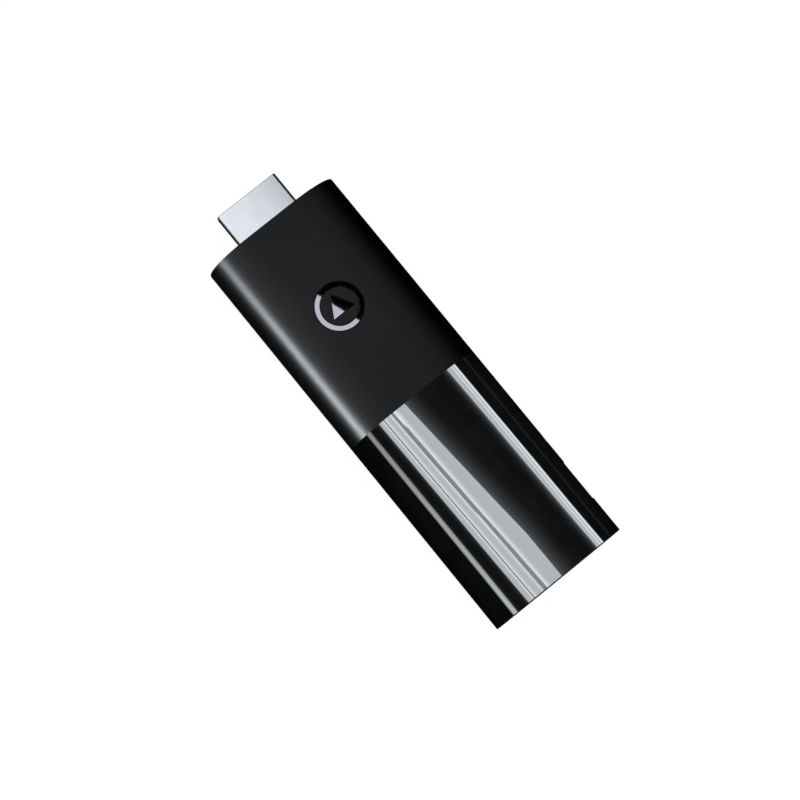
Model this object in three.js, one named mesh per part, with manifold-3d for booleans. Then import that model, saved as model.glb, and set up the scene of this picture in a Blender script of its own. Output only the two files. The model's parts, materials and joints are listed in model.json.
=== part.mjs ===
// Streaming media stick: a clamshell case with a digital video plug on one end, a micro power
// socket in one side, and a circuit board with its chips, shields and heat spreader inside.
// Units are millimetres. +Y points out of the video plug, +Z is up, and the finished part
// rests on z = 0 with the middle of its length at y = 0.
import * as THREE from "three";
import { mergeVertices } from "three/addons/utils/BufferGeometryUtils.js";
import Module from "manifold-3d";

const wasm = await Module();
wasm.setup();

// ---- Driving dimensions ----
const bodyWidth = 29.5;
const bodyThickness = 15.2;
const bodyLength = 86;
const plugProtrusion = 7.75; // metal plug shell beyond the case's end face
const wall = 1.5;
const cornerReach = 10; // how far in from each side the top starts to round off
const cornerRise = 7; // height of that rounding, above a short upright side
const cornerPower = 2.2; // 2 is an ellipse; above 2 the side is squarer
const cornerSteps = 14; // straight pieces in each quarter of the case section
const endChamfer = 0.3;
const seam = 0.12; // gap between the two case halves
const lipHeight = 1.1; // tongue of the lower half inside the upper half's rim
const lipGap = 0.15;
const rimWall = 0.65; // what is left of the upper wall outside the tongue
const boardThickness = 1;
const boardHalfWidth = 11.9;
const boardBack = 2.4; // board's edge at the closed end of the case
const boardFront = 81.4; // board's edge at the plug end
const solder = 0.05; // gap under every part that is soldered to the board

const halfThickness = bodyThickness / 2;
const cavityTop = halfThickness - wall;
const boardTop = boardThickness / 2;
const totalLength = bodyLength + plugProtrusion;

// Video plug, the full-size kind with 19 contacts.
const plug = {
  width: 13.9,
  height: 4.45,
  sheet: 0.28,
  radius: 0.45,
  chamferX: 1.35,
  chamferZ: 1.6,
  rear: 82,
  front: totalLength,
  pitch: 1,
  upperCount: 10,
  lowerCount: 9,
};

// Power socket in the +X side.
const port = {
  y: 12,
  mouth: 13.9,
  depth: 5,
  width: 7.5,
  height: 2.55,
  sheet: 0.25,
  contacts: 5,
  pitch: 0.65,
};
const portBottom = boardTop + solder;

// Status light beside the socket.
const light = { y: 21.8, z: 1.6, radius: 0.6 };

// Board fixings: x and y of each.
const screwPlaces = [
  [-9.6, 6.2],
  [9.6, 73.4],
];
const pinPlaces = [
  [9.4, 4.7],
  [-9.6, 73.4],
];
const stakePlaces = [
  [-7.6, 32],
  [7.6, 32],
  [-7.6, 62],
  [7.6, 62],
];
const clampRibs = [26, 67]; // y of the ribs that hold the board's long edges

const emblem = { y: 65, ringOuter: 4.7, ringInner: 3.75, triangle: 2.8, depth: 0.35, gap: 0.1 };

// ---- Materials ----
function finish(color, roughness, metalness) {
  return new THREE.MeshStandardMaterial({ color, roughness, metalness });
}
const blackCase = finish(0x1f2022, 0.5, 0);
const glossBlack = finish(0x0b0c0b, 0.12, 0);
const plugSteel = finish(0xd0d3d8, 0.3, 1);
const blackResin = finish(0x141414, 0.6, 0);
const gold = finish(0xd9a441, 0.3, 1);
const boardGreen = finish(0x123a2a, 0.5, 0);
const tinPlate = finish(0xb9bcc0, 0.35, 1);
const chipEpoxy = finish(0x1a1a1c, 0.6, 0);
const aluminium = finish(0xc4c6c8, 0.45, 1);
const padGrey = finish(0x7d8a96, 0.9, 0);
const ferrite = finish(0x3a3a3c, 0.7, 0);
const clearResin = finish(0xe8eef2, 0.1, 0);
const steel = finish(0x8f9296, 0.35, 1);
const film = finish(0x101010, 0.4, 0);
const tantalum = finish(0xc98a2b, 0.6, 0);

// ---- Shapes ----
// Section of the case, drawn in x and z, moved inwards by `inset`.
function caseSection(inset) {
  const halfX = bodyWidth / 2 - inset;
  const halfZ = halfThickness - inset;
  const reachX = cornerReach - inset;
  const rise = cornerRise - inset;
  const power = 2 / cornerPower;
  const points = [];
  for (let quarter = 0; quarter < 4; quarter++) {
    for (let step = 0; step <= cornerSteps; step++) {
      const angle = ((quarter + step / cornerSteps) * Math.PI) / 2;
      const c = Math.cos(angle);
      const s = Math.sin(angle);
      const sideX = quarter === 0 || quarter === 3 ? 1 : -1;
      const sideZ = quarter < 2 ? 1 : -1;
      const x = sideX * (halfX - reachX + reachX * Math.abs(c) ** power);
      const z = sideZ * (halfZ - rise + rise * Math.abs(s) ** power);
      const last = points.at(-1);
      if (!last || Math.hypot(last.x - x, last.y - z) > 1e-3) points.push(new THREE.Vector2(x, z));
    }
  }
  if (points[0].distanceTo(points.at(-1)) < 1e-3) points.pop();
  return new THREE.Shape(points);
}

// Rectangle about a centre, with quarter-round corners.
function roundedRectangle(width, height, radius, cx = 0, cy = 0) {
  const x = width / 2;
  const y = height / 2;
  const shape = new THREE.Shape();
  shape.moveTo(cx - x + radius, cy - y);
  shape.lineTo(cx + x - radius, cy - y);
  shape.absarc(cx + x - radius, cy - y + radius, radius, -Math.PI / 2, 0);
  shape.lineTo(cx + x, cy + y - radius);
  shape.absarc(cx + x - radius, cy + y - radius, radius, 0, Math.PI / 2);
  shape.lineTo(cx - x + radius, cy + y);
  shape.absarc(cx - x + radius, cy + y - radius, radius, Math.PI / 2, Math.PI);
  shape.lineTo(cx - x, cy - y + radius);
  shape.absarc(cx - x + radius, cy - y + radius, radius, Math.PI, Math.PI * 1.5);
  return shape;
}

// Plug and socket outline: round upper corners and slanted lower ones, moved inwards by `inset`.
function keyedOutline(width, height, radius, slantX, slantZ, inset = 0) {
  const x = width / 2 - inset;
  const z = height / 2 - inset;
  const r = Math.max(radius - inset, 0.12);
  const shape = new THREE.Shape();
  shape.moveTo(-x + slantX, -z);
  shape.lineTo(x - slantX, -z);
  shape.lineTo(x, -z + slantZ);
  shape.lineTo(x, z - r);
  shape.absarc(x - r, z - r, r, 0, Math.PI / 2);
  shape.lineTo(-x + r, z);
  shape.absarc(-x + r, z - r, r, Math.PI / 2, Math.PI);
  shape.lineTo(-x, -z + slantZ);
  return shape;
}

function polygon(pairs) {
  return new THREE.Shape(pairs.map(([a, b]) => new THREE.Vector2(a, b)));
}

function circle(radius, cx = 0, cy = 0) {
  const shape = new THREE.Shape();
  shape.absarc(cx, cy, radius, 0, Math.PI * 2);
  return shape;
}

// ---- Extrusions: a shape drawn in the other two axes, between two places on one axis ----
const drawnPlane = {
  x: new THREE.Matrix4().makeBasis(
    new THREE.Vector3(0, 1, 0),
    new THREE.Vector3(0, 0, 1),
    new THREE.Vector3(1, 0, 0),
  ),
  y: new THREE.Matrix4().makeBasis(
    new THREE.Vector3(1, 0, 0),
    new THREE.Vector3(0, 0, 1),
    new THREE.Vector3(0, -1, 0),
  ),
  z: new THREE.Matrix4(),
};

function extrude(axis, shape, from, to, options = {}) {
  const bevel = options.bevel ?? 0;
  const geometry = new THREE.ExtrudeGeometry(shape, {
    depth: to - from - 2 * bevel,
    curveSegments: options.segments ?? 4,
    bevelEnabled: bevel > 0,
    bevelThickness: bevel,
    bevelSize: bevel,
    bevelOffset: -bevel,
    bevelSegments: 1,
  });
  geometry.translate(0, 0, bevel);
  geometry.applyMatrix4(drawnPlane[axis]);
  const start = { x: [from, 0, 0], y: [0, to, 0], z: [0, 0, from] }[axis];
  return geometry.translate(...start);
}

function block(x0, x1, y0, y1, z0, z1) {
  const geometry = new THREE.BoxGeometry(x1 - x0, y1 - y0, z1 - z0);
  return geometry.translate((x0 + x1) / 2, (y0 + y1) / 2, (z0 + z1) / 2);
}

function post(x, y, radius, z0, z1, sides = 16) {
  const geometry = new THREE.CylinderGeometry(radius, radius, z1 - z0, sides);
  return geometry.rotateX(Math.PI / 2).translate(x, y, (z0 + z1) / 2);
}

// ---- Booleans ----
function solid(geometry) {
  const bare = geometry.clone();
  bare.deleteAttribute("normal");
  bare.deleteAttribute("uv");
  const merged = mergeVertices(bare, 1e-4);
  const vertProperties = merged.getAttribute("position").array;
  const triVerts = new Uint32Array(merged.index.array);
  return new wasm.Manifold(new wasm.Mesh({ numProp: 3, vertProperties, triVerts }));
}

function join(...geometries) {
  return geometries.map(solid).reduce((all, next) => all.add(next));
}

function geometryOf(made) {
  const { vertProperties, triVerts } = made.getMesh();
  const geometry = new THREE.BufferGeometry();
  geometry.setAttribute("position", new THREE.BufferAttribute(vertProperties, 3));
  geometry.setIndex(new THREE.BufferAttribute(triVerts, 1));
  return geometry.toNonIndexed();
}

// ---- Assembly ----
// Inside `device`, y runs from the closed end face (0) to the plug's tip, and z = 0 is the seam.
const device = new THREE.Group();
device.position.set(0, -totalLength / 2, halfThickness);

function add(name, shape, material, position = [0, 0, 0], parent = device) {
  const geometry = shape.isBufferGeometry ? shape : geometryOf(shape);
  const mesh = new THREE.Mesh(geometry, material);
  mesh.name = name;
  mesh.position.set(...position);
  parent.add(mesh);
  return mesh;
}

// ---- Case ----
const far = 60; // half size of the blocks that cut whole regions away
const overWhole = [-far, far, -far, bodyLength + far];
const caseOuter = solid(extrude("y", caseSection(0), 0, bodyLength, { bevel: endChamfer }));
const caseInner = solid(extrude("y", caseSection(wall), wall, bodyLength - wall));
const hollowCase = caseOuter.subtract(caseInner);
const insideLimit = solid(extrude("y", caseSection(wall / 2), wall / 2, bodyLength - wall / 2));

function plugHole() {
  const gap = 0.3;
  const outline = roundedRectangle(plug.width + 2 * gap, plug.height + 2 * gap, 0.7);
  return solid(extrude("y", outline, bodyLength - 2 * wall, bodyLength + 1));
}

// Ridges on the tongue that snap into grooves in the upper rim, three along each side.
function snapRidges(grow) {
  const outerFace = bodyWidth / 2 - rimWall - lipGap;
  const ridges = [];
  for (const side of [-1, 1]) {
    for (const y of [34, 52, 76]) {
      const profile = polygon([
        [outerFace - 0.3, 0.3 - grow],
        [outerFace + grow, 0.4 - grow],
        [outerFace + 0.25 + grow, 0.62],
        [outerFace + grow, 0.85 + grow],
        [outerFace - 0.3, 0.95 + grow],
      ]);
      const ridge = extrude("y", profile, y - 4 - grow, y + 4 + grow);
      if (side < 0) ridge.rotateY(Math.PI).translate(0, 0, 1.25);
      ridges.push(ridge);
    }
  }
  return ridges;
}

// Breaks in the tongue for the power socket and the light pipe.
function tongueBreaks() {
  return join(
    block(11, 14.2, port.y - 4.5, port.y + 4.5, seam / 2, 3),
    block(11, 14.2, light.y - 1.5, light.y + 1.5, seam / 2, 3),
  );
}

function topShell() {
  const half = solid(block(...overWhole, seam / 2, far));
  const rebate = solid(extrude("y", caseSection(rimWall), rimWall, bodyLength - rimWall));
  const rebateZone = solid(block(...overWhole, -1, lipHeight + lipGap));
  const stakes = stakePlaces.map(([x, y]) => post(x, y, 0.75, 3, cavityTop + 0.5, 12));
  const ribs = [];
  for (const side of [-1, 1]) {
    for (const y of clampRibs) {
      const [x0, x1] = [side * 10.2, side * 11.6].sort((a, b) => a - b);
      ribs.push(block(x0, x1, y - 0.6, y + 0.6, boardTop + 0.1, cavityTop + 0.5));
    }
  }
  const inside = join(...stakes, ...ribs).intersect(insideLimit);
  const outline = roundedRectangle(8.6, 5.2, 0.9, port.y, 0.95);
  const socketNotch = solid(extrude("x", outline, 11, 17));
  const pipeHole = new THREE.CylinderGeometry(light.radius + 0.2, light.radius + 0.2, 5, 16);
  pipeHole.rotateZ(Math.PI / 2).translate(14, light.y, light.z);
  return hollowCase
    .intersect(half)
    .subtract(rebate.intersect(rebateZone))
    .add(inside)
    .subtract(join(...snapRidges(0.1)))
    .subtract(plugHole())
    .subtract(socketNotch)
    .subtract(solid(pipeHole))
    .subtract(join(emblemRing(emblem.gap), emblemTriangle(emblem.gap)));
}

function bottomShell() {
  const half = solid(block(...overWhole, -far, -seam / 2));
  const outerInset = rimWall + lipGap;
  const tongue = solid(extrude("y", caseSection(outerInset), outerInset, bodyLength - outerInset))
    .subtract(caseInner)
    .intersect(solid(block(...overWhole, -1, lipHeight)));
  const floor = -cavityTop - 0.5;
  const rest = -boardTop - solder;
  const bosses = screwPlaces.map(([x, y]) => post(x, y, 2, floor, rest));
  const pilots = screwPlaces.map(([x, y]) => post(x, y, 0.6, -5, 1, 12));
  const posts = pinPlaces.map(([x, y]) => post(x, y, 1.7, floor, rest));
  const pins = pinPlaces.map(([x, y]) => post(x, y, 0.75, rest - 1, 1.1, 12));
  const ribs = [];
  for (const side of [-1, 1]) {
    for (const y of clampRibs) {
      const [x0, x1] = [side * 10.2, side * 11.6].sort((a, b) => a - b);
      ribs.push(block(x0, x1, y - 1.4, y + 1.4, floor, rest));
    }
  }
  const inside = join(...bosses, ...posts, ...ribs).intersect(insideLimit);
  return hollowCase
    .intersect(half)
    .add(tongue)
    .add(join(...snapRidges(0)))
    .add(inside)
    .add(join(...pins))
    .subtract(join(...pilots))
    .subtract(plugHole())
    .subtract(tongueBreaks());
}

// ---- Emblem: a plain ring round a triangle, let into the top ----
function emblemRing(gap) {
  const shape = circle(emblem.ringOuter + gap, 0, emblem.y);
  const hole = new THREE.Path();
  hole.absarc(0, emblem.y, emblem.ringInner - gap, 0, Math.PI * 2);
  shape.holes.push(hole);
  const top = halfThickness + (gap ? 1 : 0);
  return extrude("z", shape, halfThickness - emblem.depth - gap, top, { segments: 24 });
}

function emblemTriangle(gap) {
  const corners = [0, 1, 2].map((k) => {
    const angle = Math.PI / 2 + (k * 2 * Math.PI) / 3;
    const reach = emblem.triangle + 2 * gap;
    return [reach * Math.cos(angle), emblem.y + reach * Math.sin(angle)];
  });
  const top = halfThickness + (gap ? 1 : 0);
  return extrude("z", polygon(corners), halfThickness - emblem.depth - gap, top);
}

add("top_shell", topShell(), blackCase);
add("bottom_shell", bottomShell(), blackCase);
add("emblem_ring", emblemRing(0), glossBlack);
add("emblem_triangle", emblemTriangle(0), glossBlack);

// ---- Board ----
const plugTabX = plug.width / 2 - plug.sheet / 2;

function mainBoard() {
  const width = 2 * boardHalfWidth;
  const middle = (boardBack + boardFront) / 2;
  const outline = roundedRectangle(width, boardFront - boardBack, 1, 0, middle);
  const plate = extrude("z", outline, -boardTop, boardTop);
  const socketTab = block(boardHalfWidth - 1, 12.9, port.y - 4.1, port.y + 4.1, -boardTop, boardTop);
  const cuts = [];
  for (const side of [-1, 1]) {
    const x = side * plugTabX;
    cuts.push(block(x - 0.4, x + 0.4, 77.2, boardFront + 1, -1, 1));
  }
  for (const [x, y] of [...screwPlaces, ...pinPlaces]) cuts.push(post(x, y, 0.95, -1, 1, 12));
  return join(plate, socketTab).subtract(join(...cuts));
}

add("main_board", mainBoard(), boardGreen);

// ---- Video plug ----
function plugOutline(inset) {
  return keyedOutline(plug.width, plug.height, plug.radius, plug.chamferX, plug.chamferZ, inset);
}

function plugShell() {
  const tube = solid(extrude("y", plugOutline(0), plug.rear, plug.front));
  const bore = solid(extrude("y", plugOutline(plug.sheet), plug.rear - 1, plug.front + 1));
  const tabs = [];
  const windows = [];
  for (const side of [-1, 1]) {
    const x = side * plugTabX;
    const half = plug.sheet / 2;
    tabs.push(block(x - half, x + half, 77.6, 81.7, -1.4, 1.3));
    tabs.push(block(x - half, x + half, 81, plug.rear + 0.5, -0.4, 1.3));
    windows.push(block(side * 3.2 - 0.9, side * 3.2 + 0.9, 88.6, 90.4, -3, -1.8));
  }
  return tube.subtract(bore).add(join(...tabs)).subtract(join(...windows));
}

// x of each contact in a row, centred on the plug.
function rowPlaces(count, pitch) {
  return Array.from({ length: count }, (_, i) => (i - (count - 1) / 2) * pitch);
}
const contactRows = [
  { side: 1, places: rowPlaces(plug.upperCount, plug.pitch) },
  { side: -1, places: rowPlaces(plug.lowerCount, plug.pitch) },
];
const mouth = { halfWidth: 6, halfHeight: 1, back: 84.6 };
const insulatorFront = plug.front - 0.5;

function plugInsulator() {
  const body = solid(extrude("y", plugOutline(plug.sheet + 0.05), plug.rear + 0.1, insulatorFront));
  const { halfWidth, halfHeight, back } = mouth;
  const cuts = [block(-halfWidth, halfWidth, back, plug.front, -halfHeight, halfHeight)];
  for (const { side, places } of contactRows) {
    for (const x of places) {
      const [z0, z1] = [side * 0.72, side * 1.2].sort((a, b) => a - b);
      cuts.push(block(x - 0.3, x + 0.3, plug.rear - 1, insulatorFront - 0.6, z0, z1));
    }
  }
  return body.subtract(join(...cuts));
}

// One contact, drawn in y and z: a blade in the plug, a step, and a tail on the board.
function plugContact(side) {
  const tip = insulatorFront - 0.9;
  const profile = [
    [79.2, 0.56],
    [81.3, 0.56],
    [81.75, 0.85],
    [tip, 0.85],
    [tip + 0.2, 0.95],
    [tip, 1.05],
    [81.62, 1.05],
    [81.17, 0.76],
    [79.2, 0.76],
  ].map(([y, z]) => [y, side * z]);
  return extrude("x", polygon(profile), -0.22, 0.22);
}

add("video_plug_shell", plugShell(), plugSteel);
add("video_plug_insulator", plugInsulator(), blackResin);
for (const { side, places } of contactRows) {
  const row = side > 0 ? "upper" : "lower";
  places.forEach((x, i) => {
    const number = String(i + 1).padStart(2, "0");
    add(`video_${row}_contact_${number}`, plugContact(side), gold, [x, 0, 0]);
  });
}

// ---- Power socket ----
// Drawn about the middle of its mouth, with +X out of the mouth, then placed on the board.
const socket = new THREE.Group();
socket.position.set(port.mouth, port.y, portBottom + port.height / 2);
device.add(socket);

function socketOutline(inset) {
  return keyedOutline(port.width, port.height, 0.4, 0.9, 0.75, inset);
}

function socketShell() {
  const tube = solid(extrude("x", socketOutline(0), -port.depth, 0));
  const bore = solid(extrude("x", socketOutline(port.sheet), -port.depth - 1, 1));
  return tube.subtract(bore);
}

const tongue = { halfWidth: 1.95, top: 0.55, bottom: -0.05 };

function socketInsulator() {
  const back = extrude("x", socketOutline(port.sheet + 0.05), -port.depth + 0.1, -port.depth + 1.3);
  const { halfWidth, top, bottom } = tongue;
  const blade = block(-port.depth + 1, -0.8, -halfWidth, halfWidth, bottom, top);
  const slots = rowPlaces(port.contacts, port.pitch).map((y) =>
    block(-port.depth - 1, -1, y - 0.18, y + 0.18, -2, bottom + 0.12),
  );
  return join(back, blade).subtract(join(...slots));
}

// One contact, drawn in x and z: a strip under the tongue and a tail behind, down to the board.
function socketContact() {
  const boardLevel = -port.height / 2 + 0.02;
  const profile = [
    [-1.2, tongue.bottom + 0.04],
    [-port.depth - 0.45, tongue.bottom + 0.04],
    [-port.depth - 0.45, boardLevel + 0.15],
    [-port.depth - 1, boardLevel + 0.15],
    [-port.depth - 1, boardLevel],
    [-port.depth - 0.3, boardLevel],
    [-port.depth - 0.3, tongue.bottom - 0.1],
    [-1.2, tongue.bottom - 0.1],
  ];
  return extrude("y", polygon(profile), -0.12, 0.12);
}

add("power_socket_shell", socketShell(), tinPlate, [0, 0, 0], socket);
add("power_socket_insulator", socketInsulator(), blackResin, [0, 0, 0], socket);
rowPlaces(port.contacts, port.pitch).forEach((y, i) => {
  add(`power_contact_${i + 1}`, socketContact(), gold, [0, y, 0], socket);
});

// ---- Parts soldered to the board ----
// Each is drawn standing on its own z = 0. `under` hangs it below the board instead.
function chipShape(width, length, height, radius = 0.15) {
  return extrude("z", roundedRectangle(width, length, radius), 0, height, { segments: 2 });
}

function place(name, shape, material, x, y, under = false) {
  const level = boardTop + solder;
  const mesh = add(name, shape, material, [x, y, under ? -level : level]);
  if (under) mesh.rotation.y = Math.PI;
  return mesh;
}

const can = { width: 21.4, length: 31, height: 1.9, y: 44.5, sheet: 0.2 };

// A frame of sheet metal soldered round the processor.
function shieldFrame() {
  const { width, length, height, sheet } = can;
  const rim = 1;
  const outer = solid(chipShape(width, length, height, 0.6));
  const core = solid(chipShape(width - 2 * sheet, length - 2 * sheet, height - sheet, 0.4));
  const opening = solid(chipShape(width - 2 * rim, length - 2 * rim, height + 1, 0.4));
  return outer.subtract(core).subtract(opening);
}

// The lid's rim goes down outside the frame, 0.1 mm from it.
function shieldLid() {
  const { width, length, height, sheet } = can;
  const gap = 0.1;
  const grow = 2 * (gap + sheet);
  const outer = extrude("z", roundedRectangle(width + grow, length + grow, 0.8), 0.6, height + gap + sheet);
  const core = extrude("z", roundedRectangle(width + 2 * gap, length + 2 * gap, 0.7), 0, height + gap);
  return solid(outer).subtract(solid(core));
}
const lidTop = boardTop + solder + can.height + 0.1 + can.sheet;

place("shield_frame", shieldFrame(), tinPlate, 0, can.y);
place("shield_lid", shieldLid(), tinPlate, 0, can.y);
place("processor", chipShape(13, 13, 1.1), chipEpoxy, -1.5, 51);
place("processor_thermal_pad", chipShape(11, 11, 0.7, 0.5), padGrey, -1.5, 51).position.z += 1.15;
place("flash_memory", chipShape(11.5, 13, 1), chipEpoxy, 3.4, 36.8);
place("power_manager", chipShape(4.6, 4.6, 0.85), chipEpoxy, -6.4, 33.4);
place("core_inductor", chipShape(3, 3, 1.2, 0.4), ferrite, -6.4, 38.4);
place("main_crystal", chipShape(3.2, 2.5, 0.7, 0.3), tinPlate, 7.4, 50);
place("memory_left", chipShape(9, 13.3, 1), chipEpoxy, -5.2, 44, true);
place("memory_right", chipShape(9, 13.3, 1), chipEpoxy, 5.2, 44, true);
place("radio_module", chipShape(12, 12, 1.7, 0.4), tinPlate, -4.2, 18.6);
place("radio_crystal", chipShape(2.5, 2, 0.6, 0.2), tinPlate, 4.6, 22.4);
place("input_capacitor", chipShape(2.8, 3.5, 1.9, 0.1), tantalum, 5.2, 7);
place("input_inductor", chipShape(4, 4, 1.8, 0.5), ferrite, -6.6, 66.6);
place("step_down_converter", chipShape(3, 3, 0.8), chipEpoxy, -1.6, 66.6);
place("video_protection_left", chipShape(2.5, 1.1, 0.55, 0.1), chipEpoxy, -2.6, 76);
place("video_protection_right", chipShape(2.5, 1.1, 0.55, 0.1), chipEpoxy, 2.6, 76);

// ---- Antenna: a folded strip of sheet metal, drawn in x and z, at the closed end ----
function antenna() {
  const t = 0.25;
  const profile = [
    [-4.5, 0],
    [-4.5 + t, 0],
    [-4.5 + t, 3.2 - t],
    [6, 3.2 - t],
    [6, 3.2],
    [-4.5, 3.2],
  ];
  const strip = extrude("y", polygon(profile), -1.2, 1.2);
  const feed = block(-2.2, -2.2 + t, -0.5, 0.5, 0, 3.2 - t / 2);
  return join(strip, feed);
}
place("antenna", antenna(), tinPlate, 0.2, 4.6);

// ---- Heat path above the processor ----
const spreader = { z: lidTop + 0.9, thickness: 1, halfWidth: 9.4, back: 29, front: 65, flange: 0.6 };

function heatSpreader() {
  const { thickness, halfWidth, back, front, flange } = spreader;
  const outline = roundedRectangle(2 * halfWidth, front - back, 1.5, 0, (back + front) / 2);
  const plate = extrude("z", outline, 0, thickness);
  const flanges = [-1, 1].map((side) => {
    const [x0, x1] = [side * (halfWidth - 0.8), side * halfWidth].sort((a, b) => a - b);
    return block(x0, x1, back + 8, front - 8, -flange, thickness / 2);
  });
  const holes = stakePlaces.map(([x, y]) => post(x, y, 1.05, -1, thickness + 1, 12));
  return join(plate, ...flanges).subtract(join(...holes));
}
add("heat_spreader", heatSpreader(), aluminium, [0, 0, spreader.z]);
const spreaderPad = chipShape(14, 22, 0.8, 0.8);
add("spreader_thermal_pad", spreaderPad, padGrey, [-1, 48, lidTop + 0.05]);

// ---- Insulating film over the solder side ----
function insulatingFilm() {
  const outline = roundedRectangle(17, 60, 2, 0, 39);
  return extrude("z", outline, 0, 0.2);
}
add("insulating_film", insulatingFilm(), film, [0, 0, -boardTop - solder - 1 - 0.25]);

// ---- Status light and light pipe ----
place("status_led", block(-0.5, 0.5, -0.8, 0.8, 0, 1.4), clearResin, 11.1, light.y);

// Turned profile: a flange inside the wall and a rod out to the surface.
function lightPipe() {
  const [flange, rod] = [0.8, light.radius];
  const profile = [
    [0, 0],
    [flange, 0],
    [flange, 0.4],
    [rod, 0.4],
    [rod, 2.15],
    [rod - 0.15, 2.3],
    [0, 2.3],
  ].map(([r, h]) => new THREE.Vector2(r, h));
  const geometry = new THREE.LatheGeometry(profile, 16);
  return geometry.rotateZ(-Math.PI / 2);
}
add("light_pipe", lightPipe(), clearResin, [12.35, light.y, light.z]);

// ---- Board screws ----
function boardScrew() {
  const head = post(0, 0, 1.5, 0, 0.9);
  const shank = post(0, 0, 0.5, -4.2, 0.2, 12);
  const slots = [block(-0.9, 0.9, -0.14, 0.14, 0.5, 1.5), block(-0.14, 0.14, -0.9, 0.9, 0.5, 1.5)];
  return join(head, shank).subtract(join(...slots));
}
screwPlaces.forEach(([x, y], i) => place(`board_screw_${i + 1}`, boardScrew(), steel, x, y));

const stick = new THREE.Group();
stick.name = "streaming_stick";
stick.add(device);

export default stick;
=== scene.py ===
"""Looks of a streaming media stick: a black clamshell case, matte at the plug end and gloss at the
closed end, with a steel video plug, an emblem let into the top, and the board and its parts inside.

Sizes are in millimetres. A piece is drawn in the case's own axes, where y runs from the closed end
face (0) to the tip of the plug and z = 0 is the seam between the case halves. TO_FRAME then takes
it to the frame. Lamps and the camera are placed in the frame's axes, where z = 0 is the floor.
"""

import json
import math

import bmesh
import bpy
from mathutils import Euler, Matrix, Vector

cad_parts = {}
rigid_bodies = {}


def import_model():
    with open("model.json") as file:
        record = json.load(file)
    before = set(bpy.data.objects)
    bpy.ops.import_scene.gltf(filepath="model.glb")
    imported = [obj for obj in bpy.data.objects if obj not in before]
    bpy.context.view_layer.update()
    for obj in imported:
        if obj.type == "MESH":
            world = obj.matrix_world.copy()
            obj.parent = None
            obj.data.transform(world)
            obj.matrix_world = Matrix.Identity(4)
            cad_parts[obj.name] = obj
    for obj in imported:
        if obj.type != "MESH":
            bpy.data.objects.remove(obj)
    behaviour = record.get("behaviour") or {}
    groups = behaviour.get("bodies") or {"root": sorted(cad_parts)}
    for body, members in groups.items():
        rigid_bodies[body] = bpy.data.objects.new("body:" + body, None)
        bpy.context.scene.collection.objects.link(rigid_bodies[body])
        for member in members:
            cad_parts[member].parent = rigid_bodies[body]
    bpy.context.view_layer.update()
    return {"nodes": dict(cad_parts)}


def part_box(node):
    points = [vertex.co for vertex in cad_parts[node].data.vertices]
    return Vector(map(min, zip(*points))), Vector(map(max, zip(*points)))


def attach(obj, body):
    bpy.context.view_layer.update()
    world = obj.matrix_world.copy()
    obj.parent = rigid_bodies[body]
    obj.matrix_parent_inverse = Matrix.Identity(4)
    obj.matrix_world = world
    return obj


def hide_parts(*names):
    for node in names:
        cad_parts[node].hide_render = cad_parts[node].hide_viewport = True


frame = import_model()

MM = 0.001
scene = bpy.context.scene

# ---- Sizes from the frame ----
top_lo, top_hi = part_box("top_shell")
bottom_lo, bottom_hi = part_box("bottom_shell")
plug_lo, plug_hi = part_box("video_plug_shell")
port_lo, port_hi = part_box("power_socket_shell")
pipe_lo, pipe_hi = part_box("light_pipe")
ring_lo, ring_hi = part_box("emblem_ring")

ORIGIN = Vector((0, top_lo.y, (bottom_lo.z + top_hi.z) / 2))
TO_FRAME = Matrix.Translation(ORIGIN) @ Matrix.Scale(MM, 4)
TO_DEVICE = TO_FRAME.inverted()


def device(point):
    """A point of the frame, in metres, in the case's own millimetres."""
    return TO_DEVICE @ point


BODY_HALF_WIDTH = device(top_hi).x
BODY_LENGTH = device(top_hi).y
HALF_THICKNESS = device(top_hi).z
PLUG_TIP = device(plug_hi).y

# ---- Sizes of the case ----
FAR = 60  # well clear of the case's section and ends, for cutters
OVERSHOOT = 1  # how far a cutter runs past the face it opens
WALL = 1.5
CORNER_REACH = 10  # the corners are quarter superellipses, this wide
CORNER_RISE = 7  # and this high
CORNER_POWER = 2.2
CORNER_STEPS = 48
END_ROUND = 0.09
SEAM = 0.12
SEAM_CHAMFER = 0.06
FLAT_HALF = BODY_HALF_WIDTH - CORNER_REACH
UPRIGHT = HALF_THICKNESS - CORNER_RISE
GLOSS_LENGTH = 43.12  # the polished part of the case, from the closed end
RIM_WALL = 0.65
LIP_GAP = 0.15
LIP_HEIGHT = 1.1
CAVITY_TOP = HALF_THICKNESS - WALL
BOARD_TOP = 0.5
SOLDER = 0.05

PLUG_HOLE_GAP = 0.3
PLUG_HOLE_RADIUS = 0.7
PORT_HOLE_WIDTH = 8.6
PORT_HOLE_HEIGHT = 5.2
PORT_HOLE_RADIUS = 0.9
PORT_HOLE_Z = 0.95
PIPE_HOLE_RADIUS = 0.8
SIDE_CUT_INSIDE = 11  # x from which the lip is cut away and the side opening runs outwards
SIDE_CUT_OUTSIDE = 17
NEAR = 0.2  # slack when the edges round an opening are looked up
EMBLEM_DEPTH = 0.35
EMBLEM_GAP = 0.1
EMBLEM_RING_WIDTH = 0.95
EMBLEM_TRIANGLE_REACH = 2.8  # from its centre to a corner

STAKE_RADIUS = 0.75
SCREW_POST_RADIUS = 2
PILOT_RADIUS = 0.6
PIN_POST_RADIUS = 1.7
PIN_RADIUS = 0.75
POST_CHAMFER = 0.08
RIB_REACH = (10.2, 11.6)
UPPER_RIB_HALF = 0.6
LOWER_RIB_HALF = 1.4
CLAMP_GAP = 0.1  # between the upper ribs and the board
SNAP_HALF = 4
SNAP_GAP = 0.1
FITTING_ROOT = 0.5  # how far a post or rib reaches into the wall it stands on

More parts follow.
